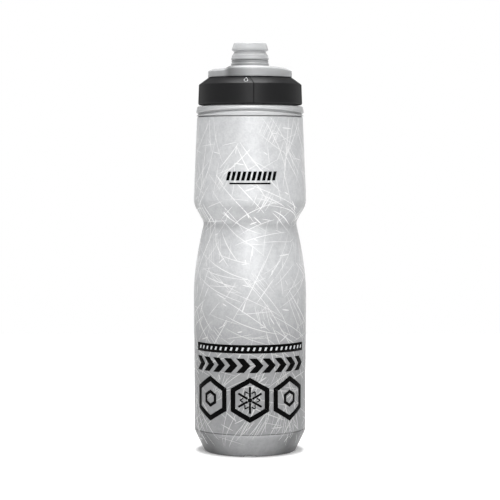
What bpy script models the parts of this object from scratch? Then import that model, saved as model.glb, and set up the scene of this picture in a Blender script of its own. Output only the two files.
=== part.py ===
"""Double-walled squeeze bottle for a bicycle cage, with a screw cap, a lock-out dial and a soft mouthpiece.

Every piece turns about the Z axis. The foot ring stands on Z = 0 and the front faces -Y.
Lengths below are in millimetres; build() turns them into metres.
"""

import math

import bmesh
import bpy
from mathutils import Matrix, Vector

MM = 0.001
SIDES = 40  # flats round every turned piece
GAP = 0.3  # free space between pieces that touch
TURN = 2 * math.pi

# Outside of the bottle
FOOT_RADIUS = 29.0
SEAM_HEIGHT = 15.0  # where the base cup meets the outer shell
SHELL_TOP = 217.6
TOP_RADIUS = 34.4
SHOULDER_RADIUS = 36.7
SHOULDER_HEIGHT = 161.2
WAIST_RADIUS = 30.25
WAIST_TOP = 150.0
WAIST_BOTTOM = 147.6
HIP_RADIUS = 36.6
HIP_HEIGHT = 105.0
SEAM_RADIUS = 36.3
FLARE_POWER = 1.62  # how quickly the flare under the waist opens

# The walls, from the outside in
SHELL_WALL = 1.2
WRAP_THICKNESS = 1.6
BOTTLE_WALL = 1.0
WRAP_INSET = SHELL_WALL + GAP
BOTTLE_INSET = WRAP_INSET + WRAP_THICKNESS + GAP
FLOOR_HEIGHT = 9.6  # top of the inner bottle's floor

# Neck and screw thread
NECK_RADIUS = 29.9
NECK_BORE = 27.5
NECK_TOP = 236.5
FLANGE_TOP = 224.4
FLANGE_BOTTOM = SHELL_TOP + GAP
FLANGE_RADIUS = 35.0
PITCH = 5.0
THREAD_CREST = 0.9  # half the thread's width at its crest
THREAD_ROOT = 1.6
THREAD_START = 228.5
NECK_TURNS = 1.25
NECK_CREST = 31.2
CAP_BORE = 31.6
CAP_CREST = 30.4
THREAD_SINK = 0.6  # how far a thread's root lies inside its wall

# Cap
CAP_BOTTOM = 225.3
CAP_TOP = 243.4
CAP_RADIUS = 33.7
CHAMFER_RADIUS = 33.2
CHAMFER_FOOT = 238.5
LIP_RADIUS = 26.9
LIP_BORE = 25.4
LIP_THICKNESS = 1.4
RECESS_RADIUS = 27.0
DECK_TOP = 239.3
DECK_BOTTOM = 237.0
SEAT_HEIGHT = 238.3  # underside that presses on the gasket
BOSS_BORE = 13.5
BOSS_TOP = 243.0

# Dial, nozzle and mouthpiece
DIAL_RADIUS = 27.2
DIAL_FLOOR = 241.2
BARREL_RADIUS = 12.3
BARREL_TOP = 255.0
STEM_RADIUS = 8.6
STEM_BORE = 6.6
STEM_TOP = 258.0
CHAMBER_RADIUS = 9.8
PORT_INNER = 4.2
PORT_OUTER = 8.6
PORT_SPAN = math.radians(70)
MEMBRANE_TOP = 260.8
MEMBRANE_BOTTOM = 259.6
SLIT_WIDTH = 0.5  # the slit is a groove, because the membrane is closed at rest
SLIT_DEPTH = 0.8
SLIT_LENGTH = 7.0
TIP_TOP = 265.7


def material(name, colour, roughness):
    """A Principled material; every piece of this bottle is a plastic, rubber or fabric."""
    made = bpy.data.materials.new(name)
    made.use_nodes = True
    shader = made.node_tree.nodes["Principled BSDF"]
    shader.inputs["Base Color"].default_value = (*colour, 1)
    shader.inputs["Roughness"].default_value = roughness
    shader.inputs["Metallic"].default_value = 0
    return made


def clear_scene():
    for old in list(bpy.data.objects):
        bpy.data.objects.remove(old, do_unlink=True)


def place(name, shape, look=None, parent=None):
    """Makes an object from a bmesh given in millimetres, with its faces pointing out."""
    bmesh.ops.scale(shape, vec=Vector((MM, MM, MM)), verts=shape.verts)
    bmesh.ops.recalc_face_normals(shape, faces=shape.faces)
    mesh = bpy.data.meshes.new(name)
    shape.to_mesh(mesh)
    shape.free()
    made = bpy.data.objects.new(name, mesh)
    bpy.context.scene.collection.objects.link(made)
    if look:
        mesh.materials.append(look)
        mesh.shade_smooth()
        mesh.set_sharp_from_angle(angle=math.radians(35))
    made.parent = parent
    return made


def turned(name, profile, look, parent, ring=False, sides=SIDES):
    """Turns a profile of (radius, height) points about Z. A ring's profile joins its last point to its first."""
    shape = bmesh.new()
    points = [shape.verts.new((radius, 0, height)) for radius, height in profile]
    pairs = list(zip(points, points[1:]))
    if ring:
        pairs.append((points[-1], points[0]))
    edges = [shape.edges.new(pair) for pair in pairs]
    bmesh.ops.spin(
        shape, geom=points + edges, cent=(0, 0, 0), axis=(0, 0, 1), angle=TURN, steps=sides, use_merge=True
    )
    bmesh.ops.remove_doubles(shape, verts=shape.verts, dist=1e-4)
    return place(name, shape, look, parent)


def change(piece, tool, operation):
    """Cuts a hidden tool from a piece, or joins it on, with an exact Boolean."""
    tool.hide_render = True
    tool.display_type = "WIRE"
    step = piece.modifiers.new(tool.name, "BOOLEAN")
    step.operation = operation
    step.object = tool


def prism(name, outlines, low, high):
    """Closed prisms between two heights, one for each outline of (x, y) points."""
    shape = bmesh.new()
    for outline in outlines:
        floor = shape.faces.new([shape.verts.new((x, y, low)) for x, y in outline])
        raised = bmesh.ops.extrude_face_region(shape, geom=[floor])["geom"]
        tops = [item for item in raised if isinstance(item, bmesh.types.BMVert)]
        bmesh.ops.translate(shape, vec=(0, 0, high - low), verts=tops)
    return place(name, shape)


def block(name, centre, size):
    shape = bmesh.new()
    bmesh.ops.create_cube(shape, size=1, matrix=Matrix.Translation(centre) @ Matrix.Diagonal((*size, 1)))
    return place(name, shape)


def thread(name, root, crest, start, first_step, steps):
    """A trapezium swept along the thread's helix; it fades out over its first and last steps."""
    shape = bmesh.new()
    sections = []
    for step in range(steps + 1):
        angle = TURN * (first_step + step) / SIDES
        height = start + PITCH * (first_step + step) / SIDES
        fade = min(1, 0.35 + 0.3 * min(step, steps - step))
        top = root + (crest - root) * fade
        section = [(root, -THREAD_ROOT), (root, THREAD_ROOT), (top, THREAD_CREST), (top, -THREAD_CREST)]
        sections.append(
            [
                shape.verts.new((radius * math.cos(angle), radius * math.sin(angle), height + rise))
                for radius, rise in section
            ]
        )
    for one, other in zip(sections, sections[1:]):
        for corner in range(4):
            following = (corner + 1) % 4
            shape.faces.new((one[corner], one[following], other[following], other[corner]))
    shape.faces.new(sections[0])
    shape.faces.new(sections[-1])
    return place(name, shape)


def arc(radius, middle, span, steps=8):
    """Points on a circle about Z, from one side of the middle angle to the other."""
    angles = [middle + span * (step / steps - 0.5) for step in range(steps + 1)]
    return [(radius * math.cos(angle), radius * math.sin(angle)) for angle in angles]


def ports(name, low, high):
    """The pair of kidney-shaped flow ports, open at the rest setting of the dial."""
    outlines = [
        arc(PORT_OUTER, middle, PORT_SPAN) + arc(PORT_INNER, middle, PORT_SPAN)[::-1]
        for middle in (0, math.pi)
    ]
    return prism(name, outlines, low, high)


def body_radius(height):
    """Radius of the bottle's outside: a tapered grip, a cut-in waist, a flare and a straight lower half."""
    if height >= SHOULDER_HEIGHT:
        share = (height - SHOULDER_HEIGHT) / (SHELL_TOP - SHOULDER_HEIGHT)
        return SHOULDER_RADIUS + (TOP_RADIUS - SHOULDER_RADIUS) * share
    if height >= WAIST_TOP:
        share = (height - WAIST_TOP) / (SHOULDER_HEIGHT - WAIST_TOP)
        return WAIST_RADIUS + (SHOULDER_RADIUS - WAIST_RADIUS) * share
    if height >= WAIST_BOTTOM:
        return WAIST_RADIUS
    if height >= HIP_HEIGHT:
        share = (WAIST_BOTTOM - height) / (WAIST_BOTTOM - HIP_HEIGHT)
        return WAIST_RADIUS + (HIP_RADIUS - WAIST_RADIUS) * (1 - (1 - share) ** FLARE_POWER)
    share = (height - SEAM_HEIGHT) / (HIP_HEIGHT - SEAM_HEIGHT)
    return SEAM_RADIUS + (HIP_RADIUS - SEAM_RADIUS) * share


def wall(inset, top, bottom):
    """Profile points of a wall that lies this far inside the bottle's outside, from top to bottom."""
    flare = [WAIST_BOTTOM + (HIP_HEIGHT - WAIST_BOTTOM) * share for share in (0, 0.2, 0.4, 0.65, 1)]
    heights = [top, SHOULDER_HEIGHT, WAIST_TOP, *flare, bottom]
    return [(body_radius(height) - inset, height) for height in heights if bottom <= height <= top]


def outer_shell(parent):
    """Soft outer wall, with an inward lip at its top that the inner bottle's flange is welded to."""
    look = material("pearl_shell", (0.72, 0.73, 0.74), 0.45)
    outside = wall(0, SHELL_TOP, SEAM_HEIGHT + GAP / 2)
    inside = wall(SHELL_WALL, SHELL_TOP - SHELL_WALL, SEAM_HEIGHT + GAP / 2)
    lip_bore = TOP_RADIUS - BOTTLE_INSET + GAP * 2
    lip = [(lip_bore, SHELL_TOP - SHELL_WALL), (lip_bore, SHELL_TOP)]
    turned("outer_shell", outside + inside[::-1] + lip, look, parent, ring=True)


def base_cup(parent):
    """Foot of the double wall: a tapered cup with a spigot inside the shell and a hollow underside."""
    look = material("pearl_base", (0.68, 0.69, 0.70), 0.45)
    spigot = SEAM_RADIUS - WRAP_INSET
    inside = [(0, 4.4), (29.3, 4.4), (spigot - 0.9, 13.0), (spigot - 0.9, 18.0), (spigot, 18.0)]
    rim = [(spigot, SEAM_HEIGHT - GAP / 2), (SEAM_RADIUS, SEAM_HEIGHT - GAP / 2)]
    outside = [(36.1, 13.5), (35.4, 11.8), (30.6, 2.0), (29.8, 0.7), (FOOT_RADIUS, 0)]
    underside = [(25.6, 0), (24.6, 3.0), (0, 3.0)]
    cup = turned("base_cup", inside + rim + outside + underside, look, parent)
    for side, centre in (("front", -27), ("back", 27)):
        change(cup, block(f"foot_notch_{side}", (0, centre, 0), (6.5, 8, 2.4)), "DIFFERENCE")


def inner_bottle(parent):
    """Inner wall that holds the drink, with the flange and the threaded neck in one piece."""
    look = material("natural_plastic", (0.80, 0.81, 0.82), 0.4)
    chamber_top = 213.0
    inside = wall(BOTTLE_INSET + BOTTLE_WALL, chamber_top, 20.0)
    floor = [(0, FLOOR_HEIGHT), (28.0, FLOOR_HEIGHT), (30.6, 11.5)]
    neck = [
        (NECK_BORE, FLANGE_BOTTOM + 1),
        (NECK_BORE, NECK_TOP),
        (NECK_RADIUS, NECK_TOP),
        (NECK_RADIUS, 226.2),
        (30.9, 225.6),
        (30.9, FLANGE_TOP),
        (FLANGE_RADIUS - 0.7, FLANGE_TOP),
        (FLANGE_RADIUS, FLANGE_TOP - 2.7),
        (FLANGE_RADIUS - 0.3, FLANGE_BOTTOM + 0.3),
        (FLANGE_RADIUS - 0.7, FLANGE_BOTTOM),
    ]
    hang = [(TOP_RADIUS - BOTTLE_INSET + 0.1, FLANGE_BOTTOM)]
    outside = wall(BOTTLE_INSET, chamber_top, 20.0)
    underside = [(31.8, 11.2), (28.4, 8.4), (0, 8.4)]
    profile = floor + inside[::-1] + neck + hang + outside + underside
    bottle = turned("inner_bottle", profile, look, parent)
    steps = round(NECK_TURNS * SIDES)
    ridge = thread("neck_thread", NECK_RADIUS - THREAD_SINK, NECK_CREST, THREAD_START, 0, steps)
    change(bottle, ridge, "UNION")


def insulation(parent):
    """Two sheets wrapped round the inner bottle, each with an open butt seam at the back, and a disc below it."""
    look = material("insulation_sheet", (0.62, 0.64, 0.66), 0.8)
    for name, top, bottom in (("upper_insulation_wrap", 212.0, 164.0), ("lower_insulation_wrap", 112.0, 19.0)):
        outside = wall(WRAP_INSET, top, bottom)
        inside = wall(WRAP_INSET + WRAP_THICKNESS, top, bottom)
        sheet = turned(name, outside + inside[::-1], look, parent, ring=True)
        seam = block(name + "_seam", (0, 34, (top + bottom) / 2), (1.5, 12, top - bottom + 2))
        change(sheet, seam, "DIFFERENCE")
    disc = [(0, 8.1), (28.0, 8.1), (28.0, 4.7), (0, 4.7)]
    turned("base_insulation_disc", disc, look, parent)


def cap_shell(parent):
    """Screw collar with a conical shoulder, an inner thread, and a deck with the two flow ports."""
    look = material("black_cap_plastic", (0.022, 0.022, 0.024), 0.5)
    profile = [
        (0, DECK_TOP),
        (BOSS_BORE, DECK_TOP),
        (BOSS_BORE, BOSS_TOP),
        (BOSS_BORE + 1.5, BOSS_TOP),
        (BOSS_BORE + 1.5, DECK_TOP),
        (RECESS_RADIUS, DECK_TOP),
        (RECESS_RADIUS, CAP_TOP - LIP_THICKNESS),
        (LIP_BORE, CAP_TOP - LIP_THICKNESS),
        (LIP_BORE, CAP_TOP),
        (LIP_RADIUS, CAP_TOP),
        (CHAMFER_RADIUS, CHAMFER_FOOT),
        (CAP_RADIUS, CHAMFER_FOOT - 0.7),
        (CAP_RADIUS, CAP_BOTTOM + 0.7),
        (CAP_RADIUS - 0.5, CAP_BOTTOM),
        (CAP_BORE, CAP_BOTTOM),
        (CAP_BORE, SEAT_HEIGHT),
        (26.6, SEAT_HEIGHT),
        (26.6, DECK_BOTTOM),
        (0, DECK_BOTTOM),
    ]
    cap = turned("cap_shell", profile, look, parent)
    start = THREAD_START - PITCH / 2
    ridge = thread("cap_thread", CAP_BORE + THREAD_SINK, CAP_CREST, start, SIDES // 2, SIDES)
    change(cap, ridge, "UNION")
    change(cap, ports("deck_ports", DECK_BOTTOM - 1, DECK_TOP + 1), "DIFFERENCE")


def cap_gasket(parent):
    """Flat seal between the neck's rim and the underside of the cap."""
    look = material("seal_silicone", (0.75, 0.75, 0.74), 0.5)
    low = NECK_TOP + GAP
    high = SEAT_HEIGHT - GAP
    turned("cap_gasket", [(27.3, high), (31.0, high), (31.0, low), (27.3, low)], look, parent, ring=True)


def pointer():
    """Raised wedge that runs from the nozzle's barrel to the front of the dial and shows its setting."""
    shape = bmesh.new()
    corners = []
    for reach, half_width, top in ((9.5, 7.5, 252.2), (17.0, 4.5, 250.4), (23.5, 1.4, 248.8)):
        low = 248.6 - (reach - BARREL_RADIUS) * 0.08
        outline = ((-half_width, low), (half_width, low), (half_width * 0.6, top), (-half_width * 0.6, top))
        corners.append([shape.verts.new((x, -reach, height)) for x, height in outline])
    for one, other in zip(corners, corners[1:]):
        for corner in range(4):
            following = (corner + 1) % 4
            shape.faces.new((one[corner], one[following], other[following], other[corner]))
    shape.faces.new(corners[0])
    shape.faces.new(corners[-1])
    return place("dial_pointer", shape)


def valve_dial(parent):
    """Turning disc with a snap skirt, the nozzle's barrel and stem, and a shutter floor with two flow ports."""
    look = material("smoke_plastic", (0.50, 0.51, 0.52), 0.3)
    nozzle = [
        (0, DIAL_FLOOR),
        (CHAMBER_RADIUS, DIAL_FLOOR),
        (CHAMBER_RADIUS, 250.6),
        (STEM_BORE, 252.6),
        (STEM_BORE, STEM_TOP),
        (STEM_RADIUS - 0.4, STEM_TOP),
        (STEM_RADIUS, STEM_TOP - 0.4),
        (STEM_RADIUS, BARREL_TOP),
        (BARREL_RADIUS - 0.3, BARREL_TOP),
        (BARREL_RADIUS, BARREL_TOP - 0.4),
        (BARREL_RADIUS, 250.3),
    ]
    disc = [
        (DIAL_RADIUS - 2.3, 248.0),
        (DIAL_RADIUS, 246.9),
        (DIAL_RADIUS, CAP_TOP + GAP),
        (LIP_BORE - 0.4, CAP_TOP + GAP),
        (LIP_BORE - 0.4, 241.6),
        (26.4, 241.4),
        (26.4, 240.5),
        (25.6, 239.9),
        (23.6, 239.9),
        (23.6, 246.0),
    ]
    shutter = [
        (12.6, 247.6),
        (12.6, 243.4),
        (11.6, 243.4),
        (11.6, 241.0),
        (12.6, 241.0),
        (12.6, DECK_TOP + GAP),
        (0, DECK_TOP + GAP),
    ]
    dial = turned("valve_dial", nozzle + disc + shutter, look, parent)
    change(dial, pointer(), "UNION")
    change(dial, ports("dial_ports", DECK_TOP - 1, DIAL_FLOOR + 1), "DIFFERENCE")


def dial_o_ring(parent):
    """Seal in the groove of the dial, running in the bore of the deck's boss."""
    look = material("o_ring_rubber", (0.06, 0.06, 0.06), 0.6)
    angles = [-TURN * step / 8 for step in range(8)]
    section = [(12.5 + 0.75 * math.cos(angle), 242.2 + 0.75 * math.sin(angle)) for angle in angles]
    turned("dial_o_ring", section, look, parent, ring=True)


def mouthpiece(parent):
    """Soft tip with a bite groove and a slit membrane that opens under pressure."""
    look = material("clear_silicone", (0.78, 0.79, 0.80), 0.35)
    skirt_bore = STEM_RADIUS + GAP
    bottom = BARREL_TOP + GAP
    profile = [
        (0, MEMBRANE_TOP),
        (5.2, MEMBRANE_TOP),
        (5.5, TIP_TOP - 1.0),
        (6.4, TIP_TOP),
        (8.8, TIP_TOP),
        (10.1, TIP_TOP - 0.7),
        (12.0, 261.3),
        (11.7, 260.6),
        (10.3, 260.1),
        (10.3, 259.0),
        (12.0, 256.6),
        (12.0, 255.8),
        (11.6, bottom),
        (skirt_bore, bottom),
        (skirt_bore, STEM_TOP + GAP),
        (7.2, STEM_TOP + GAP),
        (6.6, MEMBRANE_BOTTOM),
        (0, MEMBRANE_BOTTOM),
    ]
    tip = turned("mouthpiece", profile, look, parent, sides=32)
    near = SLIT_WIDTH / 2
    far = SLIT_LENGTH / 2
    quarter = [(far, -near), (far, near), (near, near)]
    cross = []
    for x_axis, y_axis in (((1, 0), (0, 1)), ((0, 1), (-1, 0)), ((-1, 0), (0, -1)), ((0, -1), (1, 0))):
        cross += [(x_axis[0] * a + y_axis[0] * b, x_axis[1] * a + y_axis[1] * b) for a, b in quarter]
    change(tip, prism("valve_slit", [cross], MEMBRANE_TOP - SLIT_DEPTH, MEMBRANE_TOP + 1), "DIFFERENCE")


def build():
    clear_scene()
    bottle = bpy.data.objects.new("bottle_axis", None)
    cap = bpy.data.objects.new("cap_axis", None)
    dial = bpy.data.objects.new("dial_axis", None)
    for axis in (bottle, cap, dial):
        bpy.context.scene.collection.objects.link(axis)
    cap.parent = bottle
    dial.parent = cap
    outer_shell(bottle)
    base_cup(bottle)
    inner_bottle(bottle)
    insulation(bottle)
    cap_gasket(bottle)
    cap_shell(cap)
    valve_dial(dial)
    dial_o_ring(dial)
    mouthpiece(dial)


build()
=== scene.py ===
"""Visible surfaces, finishes and studio for an insulated cycling bottle, laid out as a Blender add-on.

Shapes are worked out in millimetres and written to the meshes in metres. The bottle stands on Z = 0, its axis
is Z and its printed front faces -Y. Angles round the axis are counted from the front, towards +X.
"""

import math

import bpy
import numpy as np
from bpy.props import FloatProperty, FloatVectorProperty, IntProperty, PointerProperty
from mathutils import Matrix, Vector


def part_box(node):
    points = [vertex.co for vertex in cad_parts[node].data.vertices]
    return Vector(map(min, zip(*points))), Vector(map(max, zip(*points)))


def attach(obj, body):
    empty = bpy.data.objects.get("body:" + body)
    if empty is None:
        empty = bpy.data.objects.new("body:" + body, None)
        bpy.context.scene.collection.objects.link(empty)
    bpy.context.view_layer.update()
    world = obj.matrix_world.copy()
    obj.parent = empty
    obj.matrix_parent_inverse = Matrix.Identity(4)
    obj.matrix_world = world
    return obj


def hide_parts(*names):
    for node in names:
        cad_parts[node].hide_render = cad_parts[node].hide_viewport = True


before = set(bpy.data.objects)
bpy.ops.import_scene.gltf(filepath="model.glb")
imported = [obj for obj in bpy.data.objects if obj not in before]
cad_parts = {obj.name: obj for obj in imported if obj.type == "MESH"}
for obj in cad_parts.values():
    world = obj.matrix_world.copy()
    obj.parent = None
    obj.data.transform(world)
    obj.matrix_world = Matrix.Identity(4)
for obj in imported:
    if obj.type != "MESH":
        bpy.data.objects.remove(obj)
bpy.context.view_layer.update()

bl_info = {
    "name": "Insulated cycling bottle",
    "version": (1, 0, 0),
    "blender": (4, 5, 0),
    "location": "View3D > Sidebar > Bottle",
    "description": "Builds the visible surfaces of a double-walled cycling bottle round its packed frame",
    "category": "Add Mesh",
}

MM = 0.001
TURN = 2 * math.pi
SIDES = 240  # columns round a turned surface


def millimetres(node):
    """Lowest and highest corner of a frame node, in millimetres."""
    low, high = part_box(node)
    return np.array(low) / MM, np.array(high) / MM


SHELL_LOW, SHELL_HIGH = millimetres("outer_shell")
CAP_LOW, CAP_HIGH = millimetres("cap_shell")
NECK_TOP = millimetres("inner_bottle")[1][2]
TIP_TOP = millimetres("mouthpiece")[1][2]

# Fits that the moving pieces share, in millimetres
GAP = 0.3
SHELL_WALL = 1.2
BOTTLE_INSET = 3.4  # from the outside of the shell to the outside of the inner bottle
NECK_RADIUS = 29.9
NECK_BORE = 27.5
NECK_CREST = 31.2
CAP_BORE = 31.6
CAP_CREST = 30.4
PITCH = 5.0
THREAD_CREST = 0.9
THREAD_ROOT = 1.6
THREAD_START = 228.5
NECK_TURNS = 1.25
DECK_TOP = 239.3
DECK_BOTTOM = 237.0
DECK_RADIUS = 26.5
SEAT_HEIGHT = 238.3
LIP_RADIUS = 26.9
LIP_BORE = 25.4
LIP_TOP = 243.1
LIP_THICKNESS = 1.3
CHAMFER_RADIUS = 33.2
CHAMFER_FOOT = 238.5
STEP_DEPTH = 0.45  # how far the collar stands proud on the right of its step
DIAL_RADIUS = 27.2
CHANNEL_RADIUS = 9.8  # flow channel under the dial's stem
SHUTTER_TOP = 241.2
BARREL_RADIUS = 12.3
BARREL_TOP = 254.1
STEM_TOP = 258.0
PORT_INNER = 4.2
PORT_OUTER = 8.6
PORT_HALF_SPAN = math.radians(35)
PORT_ANGLES = np.arange(144) * TURN / 144
SEAM_ANGLE = math.radians(4.5)  # where the collar's step runs down its wall
OPEN_ANGLE, LOCKED_ANGLE = math.radians(-4.8), math.radians(90)  # where the drop signs stand
ARC_RADIUS = 36.4  # prints and fibres are laid out along the arc at this radius
BASE_CORNERS = [(36.1, 13.6), (35.4, 11.8)]  # radius and height where the base cup's wall turns in
INK_LIFT = 0.09  # underside of the black ink above the shell
FIBRE_RINGS = 15
CRYSTAL_HEIGHT = 37.4
CRYSTAL_APART = 28.0


def linear(code):
    """Linear colour of an sRGB hex value."""
    parts = np.array([int(code[start : start + 2], 16) for start in (1, 3, 5)]) / 255
    low, high = parts / 12.92, ((parts + 0.055) / 1.055) ** 2.4
    return tuple(float(part) for part in np.where(parts <= 0.04045, low, high))


def length(label, words, millimetre):
    """A length that is given in millimetres and kept in metres."""
    return FloatProperty(name=label, description=words, default=millimetre * MM, min=0, unit="LENGTH", precision=5)


def colour(label, words, code):
    """A linear colour that is given as an sRGB hex value."""
    return FloatVectorProperty(
        name=label, description=words, default=linear(code), size=3, min=0, max=1, subtype="COLOR"
    )


def count(label, words, number):
    """A whole number from 0."""
    return IntProperty(name=label, description=words, default=number, min=0)


class BottleSizes(bpy.types.PropertyGroup):
    """Outline of the soft outer wall"""

    shell_top: length("Shell top", "Height of the outer shell's upper edge", SHELL_HIGH[2])
    seam_height: length("Seam height", "Height where the base cup meets the shell", SHELL_LOW[2])
    top_radius: length("Top radius", "Radius of the shell under the flange", 34.4)
    shoulder_radius: length("Shoulder radius", "Radius of the shoulder above the waist", SHELL_HIGH[0])
    shoulder_height: length("Shoulder height", "Height of the shoulder's corner", 161.2)
    waist_radius: length("Waist radius", "Smallest radius of the shell", 30.25)
    waist_top: length("Waist top", "Height where the shoulder's slope meets the waist", 150.0)
    waist_bottom: length("Waist bottom", "Height where the flare under the waist begins", 147.6)
    hip_radius: length("Hip radius", "Largest radius of the lower half", 36.6)
    hip_height: length("Hip height", "Height where the flare ends", 105.0)
    seam_radius: length("Seam radius", "Radius of the shell at the base cup", 36.3)


class BottleColours(bpy.types.PropertyGroup):
    """Colours of the plastics, inks, seals and floor"""

    pearl: colour("Pearl", "Shell between the fibres", "#c4c5c6")
    pearl_shade: colour("Pearl shade", "Darker cloud in the shell", "#b5b6b8")
    # Painted shade: the pearl shell is darkened toward its foot until only this share of its brightness is left.
    painted_foot_brightness: FloatProperty(
        name="Painted foot brightness",
        description="Share of the pearl's brightness that is left at the foot of the shell",
        default=0.44,
        min=0,
        max=1,
        subtype="FACTOR",
    )
    fibre: colour("Fibre", "Printed white fibres", "#e2e2e2")
    ink: colour("Ink", "Black print", "#030303")
    pale_ink: colour("Pale ink", "Small marks in the black band", "#b9bbbd")
    natural: colour("Natural plastic", "Unpigmented flange, neck and inner bottle", "#bcbdbe")
    cap: colour("Cap", "Black moulded collar", "#19191a")
    dial: colour("Dial", "Translucent grey dial and barrel", "#a9aaab")
    silicone: colour("Silicone", "Clear soft tip", "#bfc0c1")
    mark: colour("Cap mark", "Drop signs on the collar", "#c9cacb")
    foil: colour("Insulation", "Insulation sheet between the walls", "#aeb1b4")
    ring: colour("O-ring", "Seal of the dial", "#202021")
    gasket: colour("Gasket", "Seal of the cap", "#d6d6d4")
    floor: colour("Floor", "Studio floor", "#f6f6f6")


class FibreSettings(bpy.types.PropertyGroup):
    """How many fibres are printed, and which draw of them"""

    seed: count("Seed", "Start of the random draws", 3)
    fans: count("Fans", "Groups of long fibres that spread from one place", 120)
    bundles: count("Bundles", "Groups of fine fibres that lie side by side", 34)
    dashes: count("Dashes", "Short loose fibres", 170)
    hairs: count("Hairs", "Fine single fibres", 260)


# ---------------------------------------------------------------- mesh tools


def piece(name, vertices, faces, look, body, node=None, slot=None, crease=42):
    """An object from vertices in millimetres and faces of four indices, where a repeated index makes a triangle."""
    repeated = faces == np.roll(faces, -1, axis=1)
    used, index = np.unique(faces, return_inverse=True)
    index = index.reshape(faces.shape)
    whole = index[~repeated.any(axis=1)].tolist()
    partial = [row[~skip].tolist() for row, skip in zip(index, repeated) if skip.sum() == 1]
    mesh = bpy.data.meshes.new(name)
    mesh.from_pydata(vertices.reshape(-1, 3)[used] * MM, [], whole + partial)
    mesh.materials.append(look)
    mesh.shade_smooth()
    mesh.set_sharp_from_angle(angle=math.radians(crease))
    made = bpy.data.objects.new(name, mesh)
    bpy.context.scene.collection.objects.link(made)
    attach(made, body)
    if node:
        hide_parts(node)
    return made


def thicken(made, name, millimetre, offset):
    """Gives a sheet its thickness; offset 1 grows it outwards and 0 both ways."""
    wall = made.modifiers.new(name, "SOLIDIFY")
    wall.thickness = millimetre * MM
    wall.offset = offset


def grid_faces(rows, columns, close_rows=False, close_columns=True, start=0, poles=()):
    """Faces of a grid of points: each cell is down, across, up. A pole row is one point."""
    index = start + np.arange(rows * columns).reshape(rows, columns)
    for row in poles:
        index[row] = index[row, 0]
    if close_columns:
        index = np.hstack([index, index[:, :1]])
    if close_rows:
        index = np.vstack([index, index[:1]])
    cells = (index[:-1, :-1], index[1:, :-1], index[1:, 1:], index[:-1, 1:])
    return np.stack(cells, axis=-1).reshape(-1, 4)


def round_axis(radius, angle, height):
    """Points at a radius and height, at an angle counted from the front towards +X."""
    radius, angle, height = np.broadcast_arrays(radius, angle, height)
    return np.stack([radius * np.sin(angle), -radius * np.cos(angle), height], axis=-1)


def rounded(corners, ring=False, steps=7):
    """Outline through (radius, height, reach) corners. Each corner with a reach becomes the parabola that leaves
    one side and joins the other at that distance from the corner."""
    points = np.array([corner[:2] for corner in corners], float)
    outline = []
    share = np.linspace(0, 1, steps)[:, None]
    for number, corner in enumerate(corners):
        end = not ring and number in (0, len(corners) - 1)
        if len(corner) < 3 or end:
            outline.append(points[number : number + 1])
            continue
        here = points[number]
        arms = [points[number - 1] - here, points[(number + 1) % len(corners)] - here]
        lengths = [np.linalg.norm(arm) for arm in arms]
        first, last = (here + arm / size * min(corner[2], size * 0.48) for arm, size in zip(arms, lengths))
        outline.append((1 - share) ** 2 * first + 2 * share * (1 - share) * here + share**2 * last)
    return np.vstack(outline)


def resampled(outline, coarse, fine=None, zone=(0, 0), ring=False):
    """The outline with points added, so that no stretch is longer than coarse, or than fine in a zone of heights."""
    ends = np.vstack([outline, outline[:1]]) if ring else outline
    parts = []
    for here, there in zip(ends, ends[1:]):
        middle = (here[1] + there[1]) / 2
        step = fine if fine and zone[0] <= middle <= zone[1] else coarse
        pieces = max(1, math.ceil(np.linalg.norm(there - here) / step))
        parts.append(here + (there - here) * np.arange(pieces)[:, None] / pieces)
    if not ring:
        parts.append(outline[-1:])
    return np.vstack(parts)


def lathe(name, outline, look, body, ring=False, angles=None, warp=None, **rest):
    """Surface of an outline turned about Z: radius and height depend on the place along the outline, and the point
    goes round with the angle. warp may change radius, angle and height. The outline runs down the outer side."""
    if angles is None:
        angles = np.arange(SIDES) * TURN / SIDES
    radius, angle, height = outline[:, :1], angles[None, :], outline[:, 1:]
    if warp:
        radius, angle, height = warp(radius, angle, height)
    points = round_axis(radius, angle + 0 * radius, height)
    poles = [row for row in (0, len(outline) - 1) if outline[row, 0] == 0]
    faces = grid_faces(len(outline), len(angles), close_rows=ring, poles=poles)
    return piece(name, points, faces, look, body, **rest)


def ported_plate(name, radii, low, high, look, body, **rest):
    """A round plate between two heights, on a polar grid. The cells of the two kidney ports, which lie on the left
    and the right of the front, are left out and walled off."""
    radius, angle = np.meshgrid(radii, PORT_ANGLES, indexing="ij")
    points = np.concatenate([round_axis(radius, angle, height) for height in (high, low)])
    middle_radius = (radius[:-1] + radius[1:]) / 2
    from_side = np.abs((angle[:-1] + PORT_ANGLES[1] / 2) % math.pi - math.pi / 2)
    in_port = (middle_radius > PORT_INNER) & (middle_radius < PORT_OUTER) & (from_side < PORT_HALF_SPAN)
    cells = grid_faces(*radius.shape, poles=[0])[~in_port.ravel()]
    ahead = np.roll(cells, -1, axis=1)
    under = radius.size
    # A cell's side needs a wall where no neighbour has the same side the other way round.
    on_rim = (cells != ahead) & ~np.isin(cells * under + ahead, ahead * under + cells)
    here, there = cells[on_rim], ahead[on_rim]
    walls = np.stack([here, here + under, there + under, there], axis=-1)
    return piece(name, points, np.vstack([cells, cells[:, ::-1] + under, walls]), look, body, **rest)


def ease(share):
    """Smooth step from 0 to 1."""
    share = np.clip(share, 0, 1)
    return share * share * (3 - 2 * share)


def thread_share(angle, height, start, first, turns):
    """How far a point lies up a helical ridge, 0 to 1: the ridge's middle climbs one pitch a turn, its flanks are
    straight, and it fades over a twentieth of a turn at both ends."""
    own = ((angle - math.pi / 2) / TURN) % 1
    offset = (height - start) / PITCH - own
    lap = np.round(offset)
    away = np.abs(offset - lap) * PITCH
    turn = own + lap
    fade = ease((turn - first) / 0.05) * ease((first + turns - turn) / 0.05)
    return np.clip((THREAD_ROOT - away) / (THREAD_ROOT - THREAD_CREST), 0, 1) * fade


# ---------------------------------------------------------------- the bottle's outline


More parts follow.
